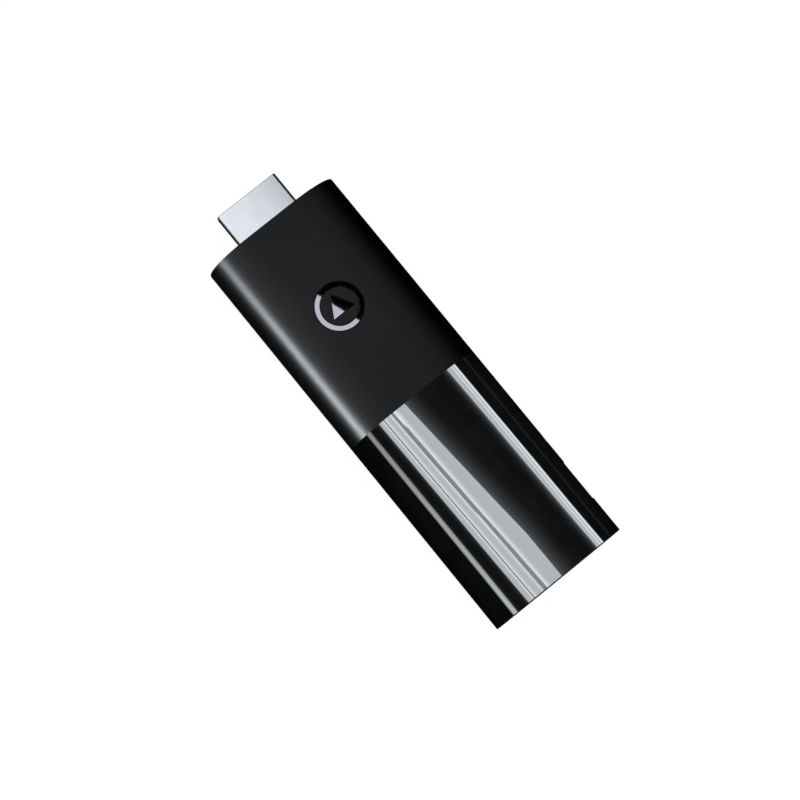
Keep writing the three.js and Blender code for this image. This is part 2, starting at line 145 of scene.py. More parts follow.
SCREWS = [(-9.6, 6.2), (9.6, 73.4)]
PINS = [(9.4, 4.7), (-9.6, 73.4)]
STAKES = [(-7.6, 32), (7.6, 32), (-7.6, 62), (7.6, 62)]
CLAMP_RIBS = [26, 67]
SNAPS = [34, 52, 76]
PORT_Y = device((port_lo + port_hi) / 2).y
LIGHT = device((pipe_lo + pipe_hi) / 2)
EMBLEM = device((ring_lo + ring_hi) / 2)
EMBLEM_RADIUS = device(ring_hi).x

# ---- Sizes of the plug ----
PLUG_SHEET = 0.28
PLUG_REAR = 82
PLUG_LIP = 0.1
PLUG_CORNER = 0.55
PLUG_SLANT_WIDTH = 1.35
PLUG_SLANT_HEIGHT = 1.6
LEAST_RADIUS = 0.12
PLUG_ROLL = 0.03
PLUG_FLARE = 0.08
PLUG_SEAM_HALF = 0.03
WINDOW_X = 3.2
WINDOW_Y = 89.5
WINDOW_SIZE = 1.8
WINDOW_RADIUS = 0.25
TAB_FAR = 77.6  # the solder tabs reach back to here beside the board
TAB_NEAR = 81.7
TAB_BOTTOM = -1.4
TAB_TOP = 1.3
TAB_NECK_BOTTOM = -0.4


# ---- Mesh tools ----
def link(name, bm):
    """A mesh object, still in the case's own millimetres, from a bmesh."""
    bmesh.ops.recalc_face_normals(bm, faces=bm.faces)
    mesh = bpy.data.meshes.new(name)
    bm.to_mesh(mesh)
    bm.free()
    obj = bpy.data.objects.new(name, mesh)
    scene.collection.objects.link(obj)
    return obj


def loft(name, rings):
    """A closed solid through rings that have the same number of points."""
    bm = bmesh.new()
    loops = [[bm.verts.new(p) for p in ring] for ring in rings]
    for a, b in zip(loops, loops[1:]):
        for i in range(len(a)):
            j = (i + 1) % len(a)
            bm.faces.new((a[i], a[j], b[j], b[i]))
    bm.faces.new(loops[0])
    bm.faces.new(loops[-1])
    return link(name, bm)


def prism(name, axis, outline, start, end, chamfer=0.0):
    """An outline drawn in the other two axes, pushed from start to end along one axis."""
    place = {
        "x": lambda a, b, t: (t, a, b),
        "y": lambda a, b, t: (a, t, b),
        "z": lambda a, b, t: (a, b, t),
    }[axis]
    if not chamfer:
        return loft(name, [[place(a, b, t) for a, b in outline] for t in (start, end)])
    inner = shrink(outline, chamfer)
    levels = [(inner, start), (outline, start + chamfer), (outline, end - chamfer), (inner, end)]
    return loft(name, [[place(a, b, t) for a, b in ring] for ring, t in levels])


def shrink(outline, amount):
    """The outline moved inwards, for convex outlines that are drawn anticlockwise."""
    moved = []
    count = len(outline)
    for i in range(count):
        before, here, after = (Vector(outline[(i + k) % count]) for k in (-1, 0, 1))
        first, second = (here - before).normalized(), (after - here).normalized()
        normal_a, normal_b = Vector((-first.y, first.x)), Vector((-second.y, second.x))
        middle = (normal_a + normal_b).normalized()
        moved.append(tuple(here + middle * (amount / max(middle.dot(normal_a), 0.3))))
    return moved


def box(name, x0, x1, y0, y1, z0, z1):
    return prism(name, "z", [(x0, y0), (x1, y0), (x1, y1), (x0, y1)], z0, z1)


def circle(cx, cy, radius, sides=32):
    turn = 2 * math.pi / sides
    return [(cx + radius * math.cos(i * turn), cy + radius * math.sin(i * turn)) for i in range(sides)]


def arc(cx, cy, radius, start, end, steps):
    """Points on a quarter or other part of a circle, angles in degrees."""
    points = []
    for i in range(steps + 1):
        angle = math.radians(start + (end - start) * i / steps)
        points.append((cx + radius * math.cos(angle), cy + radius * math.sin(angle)))
    return points


def rounded_rectangle(cx, cy, width, height, radius, steps=8):
    x, y = width / 2 - radius, height / 2 - radius
    corners = [(x, y, 0), (-x, y, 90), (-x, -y, 180), (x, -y, 270)]
    return [p for a, b, turn in corners for p in arc(cx + a, cy + b, radius, turn, turn + 90, steps)]


def boolean(target, operation, cutters):
    """Joins, cuts or intersects the target with each cutter in turn, and removes the cutters."""
    for cutter in cutters:
        modifier = target.modifiers.new("boolean", "BOOLEAN")
        modifier.operation = operation
        modifier.solver = "MANIFOLD"
        modifier.object = cutter
    bpy.context.view_layer.update()
    graph = bpy.context.evaluated_depsgraph_get()
    made = bpy.data.meshes.new_from_object(target.evaluated_get(graph))
    target.modifiers.clear()
    target.data = made
    for cutter in cutters:
        bpy.data.objects.remove(cutter)
    return target


def copy_of(obj, name):
    twin = bpy.data.objects.new(name, obj.data.copy())
    scene.collection.objects.link(twin)
    return twin


def soften(obj, width, chosen, segments=3):
    """Rounds the sharp edges of a piece for which chosen(midpoint, edge) is true."""
    bm = bmesh.new()
    bm.from_mesh(obj.data)
    bmesh.ops.dissolve_degenerate(bm, dist=1e-5, edges=bm.edges)
    edges = []
    for edge in bm.edges:
        if len(edge.link_faces) != 2 or edge.calc_face_angle(0) < math.radians(35):
            continue
        middle = (edge.verts[0].co + edge.verts[1].co) / 2
        if chosen(middle, edge):
            edges.append(edge)
    bmesh.ops.bevel(
        bm,
        geom=edges,
        offset=width,
        segments=segments,
        profile=0.5,
        affect="EDGES",
        clamp_overlap=True,
    )
    bm.to_mesh(obj.data)
    bm.free()
    return obj


def smooth(obj, degrees=35):
    """Smooth shading, with sharp edges where faces meet at more than the given angle."""
    mesh = obj.data
    bm = bmesh.new()
    bm.from_mesh(mesh)
    # A cut can leave a corner on a straight edge, where triangulating would fold a sliver.
    on_straight_edge = [vert for vert in bm.verts if len(vert.link_edges) == 2]
    bmesh.ops.dissolve_verts(bm, verts=on_straight_edge)
    for face in bm.faces:
        face.smooth = True
    for edge in bm.edges:
        edge.smooth = edge.calc_face_angle(math.pi) < math.radians(degrees)
    bm.to_mesh(mesh)
    bm.free()


# ---- Section of the case ----
def corner_curve(inset):
    """Quarter of the case section, from the upright side to the flat top, in +x and +z."""
    power = 2 / CORNER_POWER
    reach, rise = CORNER_REACH - inset, CORNER_RISE - inset
    points = []
    for step in range(CORNER_STEPS + 1):
        angle = math.pi / 2 * step / CORNER_STEPS
        x = FLAT_HALF + reach * max(math.cos(angle), 0) ** power
        z = UPRIGHT + rise * math.sin(angle) ** power
        points.append((x, z))
    return points


def half_section(inset, bottom, chamfer):
    """Upper half of the case section above z = bottom, anticlockwise from the right."""
    side = BODY_HALF_WIDTH - inset
    right = [(side - chamfer, bottom)] if chamfer else []
    right += [(side, bottom + chamfer), *corner_curve(inset)]
    return right + [(-x, z) for x, z in reversed(right)]


def half_solid(name, side, inset, bottom, start, end, chamfer=0.0, rounding=0.0):
    """Upper (side 1) or lower (side -1) half of a case-shaped solid, with rounded end edges."""
    stations = [(inset, start), (inset, end)]
    if rounding:
        steps = 5
        turns = [math.pi / 2 * i / steps for i in range(steps + 1)]
        edge = [(rounding * (1 - math.sin(t)), rounding * (1 - math.cos(t))) for t in turns]
        stations = [(inset + a, start + b) for a, b in edge]
        stations += [(inset + a, end - b) for a, b in reversed(edge)]
    rings = []
    for ring_inset, y in stations:
        ring = half_section(ring_inset, bottom, chamfer)
        rings.append([(x, y, side * z) for x, z in ring])
    return loft(name, rings)


def skin_height(x):
    """Height of the case's top above the seam at x."""
    share = min(max((abs(x) - FLAT_HALF) / CORNER_REACH, 0), 1)
    return UPRIGHT + CORNER_RISE * (1 - share**CORNER_POWER) ** (1 / CORNER_POWER)


def skin_normal(x, z):
    """Outward normal of the case section at a point on it."""
    across = min(max((abs(x) - FLAT_HALF) / CORNER_REACH, 0), 1)
    up = min(max((abs(z) - UPRIGHT) / CORNER_RISE, 0), 1)
    slope_x = across ** (CORNER_POWER - 1) / CORNER_REACH
    slope_z = up ** (CORNER_POWER - 1) / CORNER_RISE
    return Vector((math.copysign(slope_x, x), 0, math.copysign(slope_z, z))).normalized()


def on_skin(point, tolerance=2e-3):
    """True where a point in the case's axes lies on the long outer surface of the case."""
    across = (abs(point.x) - FLAT_HALF) / CORNER_REACH
    up = (abs(point.z) - UPRIGHT) / CORNER_RISE
    if across <= 0:
        return abs(up - 1) < tolerance
    if up <= 0:
        return abs(across - 1) < tolerance
    return abs(across**CORNER_POWER + up**CORNER_POWER - 1) < tolerance


def true_normals(obj):
    """Gives the case's outer skin its exact curved normals, so that reflections run clean."""
    mesh = obj.data
    normals = [Vector(n.vector) for n in mesh.corner_normals]
    for face in mesh.polygons:
        middle = TO_DEVICE @ face.center
        if abs(face.normal.y) > 0.02 or not on_skin(middle, 0.02):
            continue
        if face.normal.dot(skin_normal(middle.x, middle.z)) < 0.98:
            continue
        for corner in face.loop_indices:
            point = TO_DEVICE @ mesh.vertices[mesh.loops[corner].vertex_index].co
            if on_skin(point):
                normals[corner] = skin_normal(point.x, point.z)
    mesh.normals_split_custom_set(normals)


# ---- Case halves ----
def plug_hole():
    """Cutter for the opening that the plug comes out of."""
    width = 2 * device(plug_hi).x + 2 * PLUG_HOLE_GAP
    height = 2 * device(plug_hi).z + 2 * PLUG_HOLE_GAP
    outline = rounded_rectangle(0, 0, width, height, PLUG_HOLE_RADIUS)
    return prism("plug_hole", "y", outline, BODY_LENGTH - 2 * WALL, BODY_LENGTH + OVERSHOOT)


def snap_ridges(grow):
    """Ridges on the lower half's tongue that snap into the upper rim, three along each side."""
    outer = BODY_HALF_WIDTH - RIM_WALL - LIP_GAP
    profile = [
        (outer - 0.3, 0.3 - grow),
        (outer + grow, 0.4 - grow),
        (outer + 0.25 + grow, 0.62),
        (outer + grow, 0.85 + grow),
        (outer - 0.3, 0.95 + grow),
    ]
    ridges = []
    for side in (-1, 1):
        for y in SNAPS:
            outline = [(side * x, z) for x, z in profile]
            reach = SNAP_HALF + grow
            ridges.append(prism("snap", "y", outline, y - reach, y + reach))
    return ridges


def emblem_cutters():
    """Cutters for the pockets that the emblem's ring and triangle lie in."""
    bottom = HALF_THICKNESS - EMBLEM_DEPTH - EMBLEM_GAP
    top = HALF_THICKNESS + OVERSHOOT
    outer = circle(0, EMBLEM.y, EMBLEM_RADIUS + EMBLEM_GAP, 96)
    inner = circle(0, EMBLEM.y, EMBLEM_RADIUS - EMBLEM_RING_WIDTH - EMBLEM_GAP, 96)
    ring = prism("cut", "z", outer, bottom, top)
    core = prism("core", "z", inner, bottom - OVERSHOOT, top + OVERSHOOT)
    boolean(ring, "DIFFERENCE", [core])
    reach = EMBLEM_TRIANGLE_REACH + 2 * EMBLEM_GAP
    corners = [math.radians(angle) for angle in (90, 210, 330)]
    outline = [(reach * math.cos(a), EMBLEM.y + reach * math.sin(a)) for a in corners]
    return [ring, prism("cut", "z", outline, bottom, top)]


def round_post(x, y, radius, z0, z1):
    return prism("post", "z", circle(x, y, radius, 28), z0, z1, chamfer=POST_CHAMFER)


def clamp_rib(side, y, half_length, z0, z1):
    x0, x1 = sorted(side * x for x in RIB_REACH)
    outline = rounded_rectangle((x0 + x1) / 2, y, x1 - x0, 2 * half_length, 0.2, 3)
    return prism("rib", "z", outline, z0, z1)


def keep_inside(pieces, side):
    """Joins fittings into one solid that ends inside the wall."""
    body = pieces[0]
    boolean(body, "UNION", pieces[1:])
    limit = half_solid("limit", side, WALL / 2, -5, WALL / 2, BODY_LENGTH - WALL / 2)
    return boolean(body, "INTERSECT", [limit])


def upper_case():
    shell = half_solid(
        "upper", 1, 0, SEAM / 2, 0, BODY_LENGTH, chamfer=SEAM_CHAMFER, rounding=END_ROUND
    )
    cavity = half_solid("cavity", 1, WALL, -1, WALL, BODY_LENGTH - WALL)
    rebate = half_solid("rebate", 1, RIM_WALL, -1, RIM_WALL, BODY_LENGTH - RIM_WALL)
    above = box("above", -FAR, FAR, -FAR, 2 * FAR, LIP_HEIGHT + LIP_GAP, FAR)
    boolean(rebate, "DIFFERENCE", [above])
    boolean(shell, "DIFFERENCE", [cavity, rebate])
    root = CAVITY_TOP + FITTING_ROOT
    stakes = [round_post(x, y, STAKE_RADIUS, 3, root) for x, y in STAKES]
    ribs = [
        clamp_rib(side, y, UPPER_RIB_HALF, BOARD_TOP + CLAMP_GAP, root)
        for side in (-1, 1)
        for y in CLAMP_RIBS
    ]
    boolean(shell, "UNION", [keep_inside(stakes + ribs, 1)])
    boolean(shell, "DIFFERENCE", [*snap_ridges(SNAP_GAP), plug_hole()])
    port_outline = rounded_rectangle(
        PORT_Y, PORT_HOLE_Z, PORT_HOLE_WIDTH, PORT_HOLE_HEIGHT, PORT_HOLE_RADIUS
    )
    pipe_outline = circle(LIGHT.y, LIGHT.z, PIPE_HOLE_RADIUS)
    port = prism("port", "x", port_outline, SIDE_CUT_INSIDE, SIDE_CUT_OUTSIDE)
    pipe = prism("pipe", "x", pipe_outline, SIDE_CUT_INSIDE + 1, SIDE_CUT_OUTSIDE)
    boolean(shell, "DIFFERENCE", [port, pipe, *emblem_cutters()])
    return shell


def lower_case():
    shell = half_solid(
        "lower", -1, 0, SEAM / 2, 0, BODY_LENGTH, chamfer=SEAM_CHAMFER, rounding=END_ROUND
    )
    inset = RIM_WALL + LIP_GAP
    lip = half_solid("lip", 1, inset, -1, inset, BODY_LENGTH - inset)
    above = box("above", -FAR, FAR, -FAR, 2 * FAR, LIP_HEIGHT, FAR)
    hollow = half_solid("hollow", 1, WALL, -2, WALL, BODY_LENGTH - WALL)
    boolean(lip, "DIFFERENCE", [above, hollow])
    cavity = half_solid("cavity", -1, WALL, -1, WALL, BODY_LENGTH - WALL)
    boolean(shell, "DIFFERENCE", [cavity])
    boolean(shell, "UNION", [lip, *snap_ridges(0)])
    root = -CAVITY_TOP - FITTING_ROOT
    rest = -BOARD_TOP - SOLDER
    bosses = [round_post(x, y, SCREW_POST_RADIUS, root, rest) for x, y in SCREWS]
    posts = [round_post(x, y, PIN_POST_RADIUS, root, rest) for x, y in PINS]
    ribs = [clamp_rib(side, y, LOWER_RIB_HALF, root, rest) for side in (-1, 1) for y in CLAMP_RIBS]
    pins = [round_post(x, y, PIN_RADIUS, rest - 1, LIP_HEIGHT) for x, y in PINS]
    pilots = [prism("pilot", "z", circle(x, y, PILOT_RADIUS, 20), -5, 1) for x, y in SCREWS]
    boolean(shell, "UNION", [keep_inside(bosses + posts + ribs, -1)])
    boolean(shell, "UNION", pins)
    breaks = [
        box("break", SIDE_CUT_INSIDE, 14.2, y - half, y + half, SEAM / 2, 3)
        for y, half in ((PORT_Y, 4.5), (LIGHT.y, 1.5))
    ]
    boolean(shell, "DIFFERENCE", [*pilots, plug_hole(), *breaks])
    return shell


def at_plug_hole(middle, edge):
    between_sides = abs(middle.x) < device(plug_hi).x + PLUG_HOLE_GAP + NEAR
    between_levels = abs(middle.z) < device(plug_hi).z + PLUG_HOLE_GAP + NEAR
    return abs(middle.y - BODY_LENGTH) < 0.01 and between_sides and between_levels


def at_side_opening(middle, edge):
    near_port = abs(middle.y - PORT_Y) < PORT_HOLE_WIDTH / 2 + NEAR
    near_pipe = abs(middle.y - LIGHT.y) < PIPE_HOLE_RADIUS + NEAR
    on_right = middle.x > FLAT_HALF and all(on_skin(vert.co) for vert in edge.verts)
    above_seam = middle.z > SEAM / 2 + SEAM_CHAMFER + 0.02
    return (near_port or near_pipe) and on_right and above_seam


def at_emblem(middle, edge):
    flush = abs(middle.z - HALF_THICKNESS) < 0.01
    return flush and math.hypot(middle.x, middle.y - EMBLEM.y) < EMBLEM_RADIUS + 0.3


def finish_case(shell, prefix, node):
    """Splits a case half where the polish ends, and returns its matte and gloss parts."""
    parts = []
    for zone, start, end in (("matte", GLOSS_LENGTH, 2 * FAR), ("gloss", -FAR, GLOSS_LENGTH)):
        part = copy_of(shell, f"{prefix}_{zone}")
        boolean(part, "INTERSECT", [box("zone", -FAR, FAR, start, end, -FAR, FAR)])
        part.data.transform(TO_FRAME)
        smooth(part)
        true_normals(part)
        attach(part, "root")
        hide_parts(node)
        parts.append(part)
    bpy.data.objects.remove(shell)
    return parts


# ---- Plug shell ----
def plug_outline(inset):
    """Round upper corners and slanted lower ones, anticlockwise."""
    x = device(plug_hi).x - inset
    z = device(plug_hi).z - inset
    radius = max(PLUG_CORNER - inset, LEAST_RADIUS)
    return [
        (-x + PLUG_SLANT_WIDTH, -z),
        (x - PLUG_SLANT_WIDTH, -z),
        (x, -z + PLUG_SLANT_HEIGHT),
        *arc(x - radius, z - radius, radius, 0, 90, 8),
        *arc(-x + radius, z - radius, radius, 90, 180, 8),
        (-x, -z + PLUG_SLANT_HEIGHT),
    ]


def plug_tube(name, stations):
    """A solid along y whose section is the plug's outline, inset as each station says."""
    return loft(name, [[(x, y, z) for x, z in plug_outline(inset)] for inset, y in stations])


def plug_shell():
    """Folded sheet tube with a rolled front edge, two latch windows and a seam below."""
    below = device(plug_lo).z - OVERSHOOT
    tube = plug_tube(
        "video_plug_shell_fine",
        [
            (0, PLUG_REAR),
            (0, PLUG_TIP - 2 * PLUG_LIP),
            (0, PLUG_TIP - PLUG_LIP),
            (PLUG_ROLL, PLUG_TIP - PLUG_ROLL),
            (PLUG_LIP, PLUG_TIP),
        ],
    )
    bore = plug_tube(
        "bore",
        [
            (PLUG_SHEET, PLUG_REAR - OVERSHOOT),
            (PLUG_SHEET, PLUG_TIP - PLUG_FLARE),
            (PLUG_SHEET - PLUG_FLARE, PLUG_TIP),
            (PLUG_SHEET - PLUG_FLARE, PLUG_TIP + OVERSHOOT),
        ],
    )
    boolean(tube, "DIFFERENCE", [bore])
    tabs = []
    cuts = []
    for side in (-1, 1):
        x0, x1 = sorted((side * device(plug_hi).x, side * (device(plug_hi).x - PLUG_SHEET)))
        tabs.append(box("tab", x0, x1, TAB_FAR, TAB_NEAR, TAB_BOTTOM, TAB_TOP))
        tabs.append(box("tab", x0, x1, 81, PLUG_REAR + 0.5, TAB_NECK_BOTTOM, TAB_TOP))
        outline = rounded_rectangle(
            side * WINDOW_X, WINDOW_Y, WINDOW_SIZE, WINDOW_SIZE, WINDOW_RADIUS, 4
        )
        cuts.append(prism("window", "z", outline, below, -1.8))
    boolean(tube, "UNION", tabs)
    seam_start = PLUG_REAR - OVERSHOOT
    seam_end = PLUG_TIP + OVERSHOOT
    cuts.append(box("seam", -PLUG_SEAM_HALF, PLUG_SEAM_HALF, seam_start, seam_end, below, -2.12))
    boolean(tube, "DIFFERENCE", cuts)
    tube.data.transform(TO_FRAME)
    smooth(tube, 30)
    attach(tube, "root")
    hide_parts("video_plug_shell")
    return tube


# ---- Materials ----
def linear(grey):
    """Linear value of a display grey from 0 to 1."""
    return grey / 12.92 if grey <= 0.04045 else ((grey + 0.055) / 1.055) ** 2.4


NOISE_LOW = 0.35  # most of a noise texture's values lie between these two
NOISE_HIGH = 0.65


class Nodes:
    """A material with short calls for its nodes. Texture scales are in cycles per millimetre."""

    def __init__(self, name):
        self.material = bpy.data.materials.new(name)
        self.material.use_nodes = True
        self.tree = self.material.node_tree
        self.shader = self.tree.nodes["Principled BSDF"]
        self.place = self.tree.nodes.new("ShaderNodeTexCoord").outputs["Object"]

    def add(self, kind, **settings):
        node = self.tree.nodes.new(kind)
        for name, value in settings.items():
            setattr(node, name, value)
        return node

    def join(self, output, target):
        self.tree.links.new(output, target)
        return self

    def mapping(self, stretch):
        node = self.add("ShaderNodeMapping")
        node.inputs["Scale"].default_value = stretch
        self.join(self.place, node.inputs["Vector"])
        return node.outputs["Vector"]

    def noise(self, per_mm, detail=4.0, stretch=None):
        node = self.add("ShaderNodeTexNoise")
        node.inputs["Scale"].default_value = per_mm / MM
        node.inputs["Detail"].default_value = detail
        node.inputs["Roughness"].default_value = 0.55
        self.join(self.mapping(stretch) if stretch else self.place, node.inputs["Vector"])
        return node.outputs["Fac"]

    def spread(self, value, low, high):
        """Maps the middle of a noise's range to low...high."""
        node = self.add("ShaderNodeMapRange")
        node.inputs["From Min"].default_value = NOISE_LOW
        node.inputs["From Max"].default_value = NOISE_HIGH
        node.inputs["To Min"].default_value = low
        node.inputs["To Max"].default_value = high
        self.join(value, node.inputs["Value"])
        return node.outputs["Result"]

    def colours(self, value, first, second):
        """Maps the middle of a noise's range to a blend of two colours."""
        node = self.add("ShaderNodeValToRGB")
        start, end = node.color_ramp.elements
        start.position = NOISE_LOW
        start.color = (*first, 1)
        end.position = NOISE_HIGH
        end.color = (*second, 1)
        self.join(value, node.inputs["Fac"])
        return node.outputs["Color"]

    def colour(self, output):
        return self.join(output, self.shader.inputs["Base Color"])

    def rough(self, output):
        return self.join(output, self.shader.inputs["Roughness"])

    def bump(self, height, depth_mm):
        node = self.add("ShaderNodeBump")
        node.inputs["Distance"].default_value = depth_mm * MM
        node.inputs["Strength"].default_value = 1.0
        self.join(height, node.inputs["Height"])
        return self.join(node.outputs["Normal"], self.shader.inputs["Normal"])


def matte_plastic():
    made = Nodes("case_matte_plastic")
    made.colour(made.colours(made.noise(0.15), (0.0019, 0.0020, 0.0022), (0.0028, 0.0029, 0.0032)))
    made.rough(made.spread(made.noise(2.5), 0.29, 0.325))
    made.bump(made.noise(9, detail=2), 0.0012)
    return made.material


def gloss_plastic():
    made = Nodes("case_gloss_plastic")
    made.colour(made.colours(made.noise(0.2), (0.0022, 0.0023, 0.0022), (0.0034, 0.0035, 0.0034)))
    made.rough(made.spread(made.noise(0.6), 0.008, 0.012))
    made.bump(made.noise(0.05, detail=1), 0.0004)
    return made.material


def emblem_gloss():
    made = Nodes("emblem_gloss_black")
    made.colour(made.colours(made.noise(0.5), (0.003, 0.003, 0.0034), (0.0042, 0.0042, 0.005)))
    made.rough(made.spread(made.noise(1.0), 0.01, 0.015))
    return made.material


def brushed_steel():
    made = Nodes("plug_nickel_steel")
    made.shader.inputs["Metallic"].default_value = 1.0
    cloud = made.noise(0.12, detail=2)
    made.colour(made.colours(cloud, (0.735, 0.745, 0.765), (0.765, 0.775, 0.79)))
    made.rough(made.spread(made.noise(1.2, stretch=(1, 0.15, 1)), 0.28, 0.32))
    made.bump(made.noise(9, detail=2, stretch=(1, 0.06, 1)), 0.0004)
    return made.material


def plain(name, first, second, rough, grain=0.0, metallic=0.0):
    """A material with a cloudy colour, uneven gloss and, where given, a fine grain."""
    made = Nodes(name)
    made.shader.inputs["Metallic"].default_value = metallic
    made.colour(made.colours(made.noise(1), first, second))
    made.rough(made.spread(made.noise(3), rough - 0.05, rough + 0.05))
    if grain:
        made.bump(made.noise(8), grain)
    return made.material


def board_laminate():
    """Green solder mask with the faint relief and lighter tone of the copper traces under it."""
    made = Nodes("board_laminate")
    traces = made.add("ShaderNodeTexBrick")
    traces.inputs["Scale"].default_value = 0.5 / MM
    traces.inputs["Mortar Size"].default_value = 0.04
    traces.inputs["Mortar Smooth"].default_value = 0.3
    traces.inputs["Brick Width"].default_value = 1.7
    traces.inputs["Row Height"].default_value = 0.4
    traces.inputs["Color1"].default_value = (0.006, 0.040, 0.022, 1)
    traces.inputs["Color2"].default_value = (0.008, 0.047, 0.026, 1)
    traces.inputs["Mortar"].default_value = (0.020, 0.095, 0.048, 1)
    made.join(made.place, traces.inputs["Vector"])
    made.colour(traces.outputs["Color"])
    made.rough(made.spread(made.noise(2), 0.32, 0.42))
    made.bump(traces.outputs["Fac"], 0.02)
    return made.material


# ---- Camera ----
EYE = Vector((-41.9, -52, 473.02))  # beyond the closed end and to the left, looking steeply down
EYE_TURN = (7.856, 0.035, -38.988)
LENS = 112.02


def add_camera():
    camera = bpy.data.objects.new("camera", bpy.data.cameras.new("camera"))
    camera.location = EYE * MM
    camera.rotation_euler = Euler([math.radians(angle) for angle in EYE_TURN], "XYZ")
    camera.data.lens = LENS
    camera.data.sensor_width = 36
    scene.collection.objects.link(camera)
    scene.camera = camera


add_camera()


# ---- Lights ----
def group(name, objects):
    """A collection that says which pieces a light shines on."""
    made = bpy.data.collections.new(name)
    for obj in objects:
        made.objects.link(obj)
    return made


def mirrored(x, y, height):
    """Point of the plane z = height, in the frame's millimetres, that the camera sees mirrored in
    the case's top at x, y."""
    origin = ORIGIN / MM
    spot = Vector((x, y, skin_height(x))) + origin
    normal = skin_normal(x, skin_height(x))
    ray = (spot - EYE).normalized()
    bounce = ray.reflect(normal)
    return spot + bounce * ((height - spot.z) / bounce.z)


CARD_HEIGHT = 760
CARD_STEPS = 12  # level parts of a card between two rows
LAMP_HEIGHT = 700  # below the cards, which would hide a lamp behind them
REFLECTANCE = 0.04  # of clear plastic seen nearly square on


def glow_material(name):
    """Emission whose strength comes from the card's own radiance attribute."""
    material = bpy.data.materials.new(name)
    material.use_nodes = True
    tree = material.node_tree
    tree.nodes.clear()
    attribute = tree.nodes.new("ShaderNodeAttribute")
    attribute.attribute_name = "radiance"
    emission = tree.nodes.new("ShaderNodeEmission")
    output = tree.nodes.new("ShaderNodeOutputMaterial")
    tree.links.new(attribute.outputs["Color"], emission.inputs["Color"])
    tree.links.new(emission.outputs["Emission"], output.inputs["Surface"])
    return material


GLOW = glow_material("card_glow")


def card(name, columns, rows, receivers, tint=(1, 1, 1), gains=None):
    """A softbox cut so that its edges are seen as given on the case's top. Each column has its
    x on the case at each row's y, and how bright a grey it is seen as. Each row may have a gain."""
    gains = gains or [1] * len(rows)
    bm = bmesh.new()
    layer = bm.verts.layers.float_color.new("radiance")
    grid = []
    for i in range(CARD_STEPS * (len(rows) - 1) + 1):
        k = min(i // CARD_STEPS, len(rows) - 2)
        part = (i - k * CARD_STEPS) / CARD_STEPS
        y = rows[k] + (rows[k + 1] - rows[k]) * part
        gain = gains[k] + (gains[k + 1] - gains[k]) * part
        line = []
        for *places, grey in columns:
            x = places[k] + (places[k + 1] - places[k]) * part
            vert = bm.verts.new(mirrored(x, y, CARD_HEIGHT) * MM)
            value = gain * linear(grey) / REFLECTANCE
            vert[layer] = (value * tint[0], value * tint[1], value * tint[2], 1)
            line.append(vert)
        grid.append(line)
    for a, b in zip(grid, grid[1:]):
        for j in range(len(a) - 1):
            bm.faces.new((a[j], a[j + 1], b[j + 1], b[j]))
    mesh = bpy.data.meshes.new(name)
    bm.to_mesh(mesh)
    bm.free()
    mesh.materials.append(GLOW)
    obj = bpy.data.objects.new(name, mesh)
    scene.collection.objects.link(obj)
    obj.visible_camera = False
    obj.visible_shadow = False
    obj.light_linking.receiver_collection = receivers
    obj.light_linking.blocker_collection = all_parts
    return obj


def softbox(name, place, target, width, length, radiance, receivers, colour=(1, 1, 1)):
    """A rectangular lamp at place, facing target, in the frame's millimetres. Its length runs
    along y, or upwards where the lamp faces along y."""
    centre = Vector(place)
    back = (centre - Vector(target)).normalized()
    up = Vector((0, 1, 0)) if abs(back.y) < 0.5 else Vector((0, 0, 1))
    across = up.cross(back).normalized()
    along = back.cross(across)
    return lamp_at(name, centre, along, across, back, (width, length), radiance, receivers, colour)


def lamp_at(name, centre, along, across, back, size, radiance, receivers, colour):
    """A rectangular lamp given by its directions and by its size across and along, in the
    frame's millimetres."""
    data = bpy.data.lights.new(name, "AREA")
    data.shape = "RECTANGLE"
    data.size = size[0] * MM
    data.size_y = size[1] * MM
    data.energy = radiance * math.pi * data.size * data.size_y
    data.color = colour
    lamp = bpy.data.objects.new(name, data)
    turn = Matrix((across, along, back)).transposed().to_4x4()
    lamp.matrix_world = Matrix.Translation(centre * MM) @ turn
    lamp.visible_camera = False
    lamp.light_linking.receiver_collection = receivers
    lamp.light_linking.blocker_collection = all_parts
    scene.collection.objects.link(lamp)
    return lamp


STRIP_FRONT = 28  # where the matte top mirrors the ends of the strips, well past its own ends
STRIP_REAR = 104


def overhead_strip(name, left, right, grey):
    """A level lamp over the case that the matte top mirrors between two x, seen as a grey."""
    middle = (STRIP_FRONT + STRIP_REAR) / 2
    first, second = (mirrored(x, middle, LAMP_HEIGHT) for x in (left, right))
    length = (mirrored(0, STRIP_REAR, LAMP_HEIGHT) - mirrored(0, STRIP_FRONT, LAMP_HEIGHT)).length
    size = (second.x - first.x, length)
    radiance = linear(grey) / REFLECTANCE
    axes = Vector((0, 1, 0)), Vector((1, 0, 0)), Vector((0, 0, 1))
    return lamp_at(name, (first + second) / 2, *axes, size, radiance, matte_parts, COOL)


def emblem_lamp(far, near):
    """A lamp with one straight edge that crosses the emblem between two points of its top."""
    start, end = (mirrored(x, y, LAMP_HEIGHT) for x, y in (near, far))
    along = (end - start).normalized()
    up = Vector((0, 0, 1))
    across = along.cross(up)
    width = 60
    centre = (start + end) / 2 - across * (width / 2)
    size = (width, 3 * (end - start).length)
    radiance = linear(0.73) / REFLECTANCE
    tint = (0.98, 0.97, 1.14)
    return lamp_at("emblem_lamp", centre, along, across, up, size, radiance, emblem_parts, tint)


# ---- Build ----
upper = upper_case()
soften(upper, 0.12, at_plug_hole)
soften(upper, 0.15, at_side_opening)
soften(upper, 0.03, at_emblem, segments=2)
lower = lower_case()
soften(lower, 0.12, at_plug_hole)
upper_matte, upper_gloss = finish_case(upper, "upper_case", "top_shell")
lower_matte, lower_gloss = finish_case(lower, "lower_case", "bottom_shell")
plug = plug_shell()

